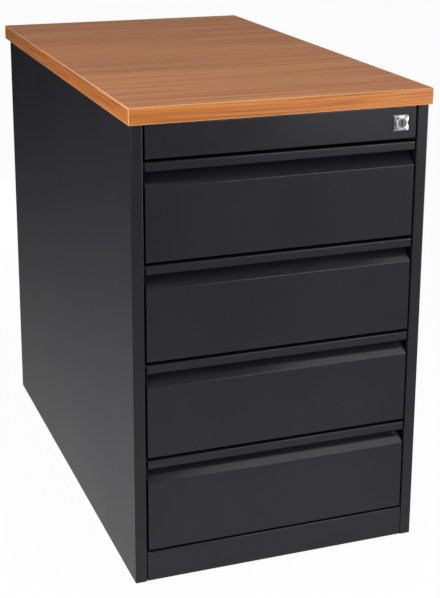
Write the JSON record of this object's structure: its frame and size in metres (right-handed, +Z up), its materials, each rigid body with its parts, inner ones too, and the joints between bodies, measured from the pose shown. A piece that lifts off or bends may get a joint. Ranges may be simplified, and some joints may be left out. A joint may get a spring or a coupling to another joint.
{
  "type": "drawer pedestal",
  "caption": "Desk-height steel drawer pedestal with a wood-look top, sliding drawers with full-width finger recesses, a plinth and a key lock that secures every drawer.",
  "frame": {"origin": "on the floor under the middle of the top", "axes": "+Z up; the drawers face and open towards -Y; +X is to the right seen from the front"},
  "size_m": [0.468, 0.83, 0.73],
  "materials": {
    "top_laminate": "wood-look melamine laminate, satin",
    "edge_band": "wood-look edge band, satin",
    "charcoal_powder_coat": "fine-texture powder coat, satin",
    "zinc_plated_steel": "bright zinc plate",
    "lock_chrome": "polished chrome plate",
    "black_nylon": "moulded, matte",
    "buffer_rubber": "moulded, matte"
  },
  "bodies": {
    "carcass": {"top_board": "top_laminate", "front_edge_band": "edge_band", "rear_edge_band": "edge_band", "left_edge_band": "edge_band", "right_edge_band": "edge_band", "left_side_panel": "charcoal_powder_coat", "right_side_panel": "charcoal_powder_coat", "back_panel": "charcoal_powder_coat", "base_pan": "charcoal_powder_coat", "plinth_rail": "charcoal_powder_coat", "lock_fascia": "charcoal_powder_coat", "front_top_rail": "charcoal_powder_coat", "rear_top_rail": "charcoal_powder_coat", "front_posts": "charcoal_powder_coat", "rear_posts": "charcoal_powder_coat", "cabinet_slides": "zinc_plated_steel", "slide_buffers": "buffer_rubber", "glide_feet": "black_nylon", "glide_stems": "zinc_plated_steel", "glide_nuts": "zinc_plated_steel", "top_screws": "zinc_plated_steel", "back_rivets": "charcoal_powder_coat", "fascia_screws": "zinc_plated_steel", "lock_housing": "lock_chrome", "lock_nut": "zinc_plated_steel", "lock_bar_guides": "black_nylon"},
    "drawer_1": {"drawer_front_1": "charcoal_powder_coat", "inner_front_1": "charcoal_powder_coat", "drawer_tray_1": "charcoal_powder_coat", "drawer_slides_1": "zinc_plated_steel", "lock_catch_1": "zinc_plated_steel", "front_rivets_1": "zinc_plated_steel"},
    "slides_1": {"middle_slides_1": "zinc_plated_steel"},
    "drawer_2": {"drawer_front_2": "charcoal_powder_coat", "inner_front_2": "charcoal_powder_coat", "drawer_tray_2": "charcoal_powder_coat", "drawer_slides_2": "zinc_plated_steel", "lock_catch_2": "zinc_plated_steel", "front_rivets_2": "zinc_plated_steel"},
    "slides_2": {"middle_slides_2": "zinc_plated_steel"},
    "drawer_3": {"drawer_front_3": "charcoal_powder_coat", "inner_front_3": "charcoal_powder_coat", "drawer_tray_3": "charcoal_powder_coat", "drawer_slides_3": "zinc_plated_steel", "lock_catch_3": "zinc_plated_steel", "front_rivets_3": "zinc_plated_steel"},
    "slides_3": {"middle_slides_3": "zinc_plated_steel"},
    "drawer_4": {"drawer_front_4": "charcoal_powder_coat", "inner_front_4": "charcoal_powder_coat", "drawer_tray_4": "charcoal_powder_coat", "drawer_slides_4": "zinc_plated_steel", "lock_catch_4": "zinc_plated_steel", "front_rivets_4": "zinc_plated_steel"},
    "slides_4": {"middle_slides_4": "zinc_plated_steel"},
    "lock_cylinder": {"lock_plug": "lock_chrome", "lock_cam": "zinc_plated_steel", "cam_screw": "zinc_plated_steel"},
    "lock_bar": {"lock_bar": "zinc_plated_steel", "lock_tabs": "zinc_plated_steel"}
  },
  "joints": [
    {"name": "drawer_1_slide", "type": "slide", "parent": "carcass", "child": "drawer_1", "axis": [0, -1, 0], "range_m": [0, 0.62]},
    {"name": "drawer_2_slide", "type": "slide", "parent": "carcass", "child": "drawer_2", "axis": [0, -1, 0], "range_m": [0, 0.62]},
    {"name": "drawer_3_slide", "type": "slide", "parent": "carcass", "child": "drawer_3", "axis": [0, -1, 0], "range_m": [0, 0.62]},
    {"name": "drawer_4_slide", "type": "slide", "parent": "carcass", "child": "drawer_4", "axis": [0, -1, 0], "range_m": [0, 0.62]},
    {"name": "slides_1_travel", "type": "slide", "parent": "carcass", "child": "slides_1", "axis": [0, -1, 0], "range_m": [0, 0.31]},
    {"name": "slides_2_travel", "type": "slide", "parent": "carcass", "child": "slides_2", "axis": [0, -1, 0], "range_m": [0, 0.31]},
    {"name": "slides_3_travel", "type": "slide", "parent": "carcass", "child": "slides_3", "axis": [0, -1, 0], "range_m": [0, 0.31]},
    {"name": "slides_4_travel", "type": "slide", "parent": "carcass", "child": "slides_4", "axis": [0, -1, 0], "range_m": [0, 0.31]},
    {"name": "lock_turn", "type": "hinge", "parent": "carcass", "child": "lock_cylinder", "pos_m": [0.184, -0.41, 0.68], "axis": [0, 1, 0], "range_deg": [0, 90]},
    {"name": "lock_bar_lift", "type": "slide", "parent": "carcass", "child": "lock_bar", "axis": [0, 0, 1], "range_m": [0, 0.0124]}
  ],
  "couplings": [
    {"joint": "slides_1_travel", "follows": "drawer_1_slide", "ratio": 0.5},
    {"joint": "slides_2_travel", "follows": "drawer_2_slide", "ratio": 0.5},
    {"joint": "slides_3_travel", "follows": "drawer_3_slide", "ratio": 0.5},
    {"joint": "slides_4_travel", "follows": "drawer_4_slide", "ratio": 0.5},
    {"joint": "lock_bar_lift", "follows": "lock_turn", "m_per_rad": 0.0076394}
  ]
}
